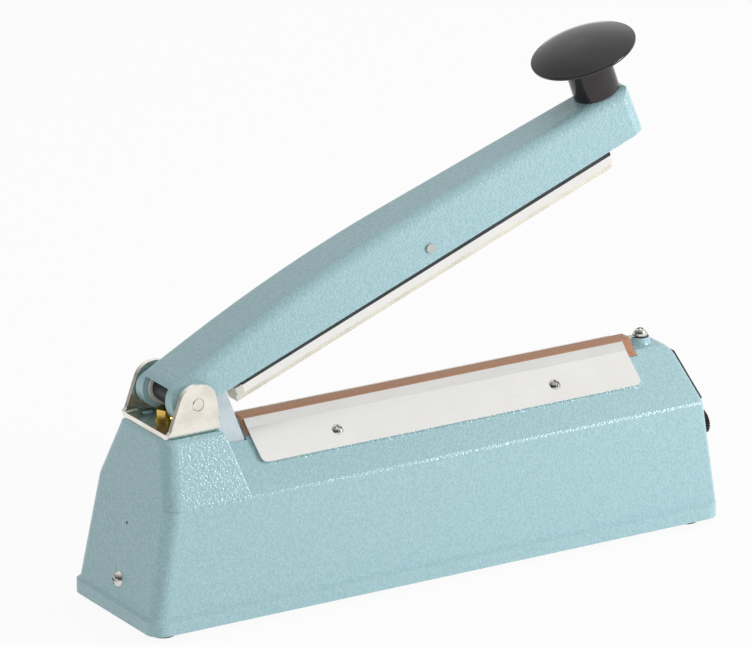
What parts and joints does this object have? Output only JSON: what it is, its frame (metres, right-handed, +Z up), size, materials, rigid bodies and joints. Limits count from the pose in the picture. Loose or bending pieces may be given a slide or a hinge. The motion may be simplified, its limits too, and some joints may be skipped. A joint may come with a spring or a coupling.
{
  "type": "impulse heat sealer",
  "caption": "Tabletop impulse heat sealer: cast base with a cloth-covered seal bar, and a sprung hinged arm with a knob and a silicone jaw.",
  "frame": {"origin": "on the table, under the middle of the machine, timer knob included", "axes": "+X along the base from the hinge to the timer, +Z up"},
  "size_m": [0.3298, 0.08, 0.2502],
  "materials": {
    "aluminium": "drawn",
    "black_plastic": "polished",
    "board": "circuit board",
    "brass": "plain",
    "cloth": "coated glass weave",
    "copper_wire": "varnished winding under tape",
    "dark_plastic": "satin",
    "grey_plastic": "satin",
    "hammered_paint": "hammered enamel",
    "lamination": "varnished laminations",
    "lamp_red": "clear red",
    "nichrome": "resistance ribbon",
    "nickel": "bright nickel plate",
    "rubber": "matte",
    "silicone": "matte cream",
    "steel": "ground steel",
    "white_plastic": "ceramic white",
    "zinc": "zinc plate",
    "zinc_yellow": "yellow zinc plate"
  },
  "bodies": {
    "base": {"base_housing": "hammered_paint", "board_parts": "dark_plastic", "board_standoffs": "white_plastic", "bottom_plate": "zinc", "bracket_bolt": "zinc_yellow", "bracket_nut": "zinc_yellow", "bracket_washers": "zinc_yellow", "clamp_plate_back": "aluminium", "clamp_plate_front": "aluminium", "clamp_screws": "zinc", "cord_gland": "rubber", "cover_cloth": "cloth", "dial_plate": "dark_plastic", "end_nuts": "zinc", "end_screws": "zinc", "foot_nuts": "zinc", "foot_screws": "zinc", "heating_element": "nichrome", "hinge_bracket": "nickel", "hinge_pin": "nickel", "hinge_rings": "white_plastic", "hinge_sleeve": "dark_plastic", "indicator_lamp": "lamp_red", "microswitch": "dark_plastic", "potentiometer": "zinc", "potentiometer_nut": "zinc", "rear_terminal": "brass", "return_spring": "steel", "rubber_feet": "rubber", "seal_bar": "aluminium", "switch_bracket": "zinc", "switch_screws": "zinc", "terminal_bush": "dark_plastic", "terminal_nut": "brass", "terminal_screw": "zinc", "terminal_washer": "zinc", "timer_board": "board", "transformer_core": "lamination", "transformer_screws": "zinc", "transformer_strap": "zinc", "transformer_winding": "copper_wire"},
    "arm": {"arm": "hammered_paint", "handle_knob": "black_plastic", "knob_screw": "zinc", "switch_tongue": "grey_plastic", "tongue_screws": "zinc", "jaw_pin": "steel"},
    "jaw": {"jaw_carrier": "dark_plastic", "jaw_channel": "aluminium", "silicone_strip": "silicone"},
    "plunger": {"switch_plunger": "white_plastic"},
    "timer": {"timer_knob": "black_plastic", "timer_shaft": "aluminium"}
  },
  "joints": [
    {"name": "arm_hinge", "type": "hinge", "parent": "base", "child": "arm", "pos_m": [-0.12978, 0, 0.1092], "axis": [0, -1, 0], "range_deg": [-19.74, 0], "stiffness_Nm_per_rad": 1.1, "springref_deg": 42.97, "deforming": ["return_spring"]},
    {"name": "jaw_rock", "type": "hinge", "parent": "arm", "child": "jaw", "pos_m": [0.00224, 0, 0.1618], "axis": [0, -1, 0], "range_deg": [-1.45, 0.2]},
    {"name": "plunger_slide", "type": "slide", "parent": "base", "child": "plunger", "axis": [0.5075, 0, -0.8616], "range_m": [0, 0.00215]},
    {"name": "timer_turn", "type": "hinge", "parent": "base", "child": "timer", "pos_m": [0.14979, -0.0095, 0.0415], "axis": [-0.9923, 0, -0.124], "range_deg": [0, 280]}
  ],
  "couplings": [
    {"joint": "jaw_rock", "follows": "arm_hinge", "ratio": 0.0638},
    {"joint": "plunger_slide", "follows": "arm_hinge", "m_per_rad": -0.00598}
  ]
}
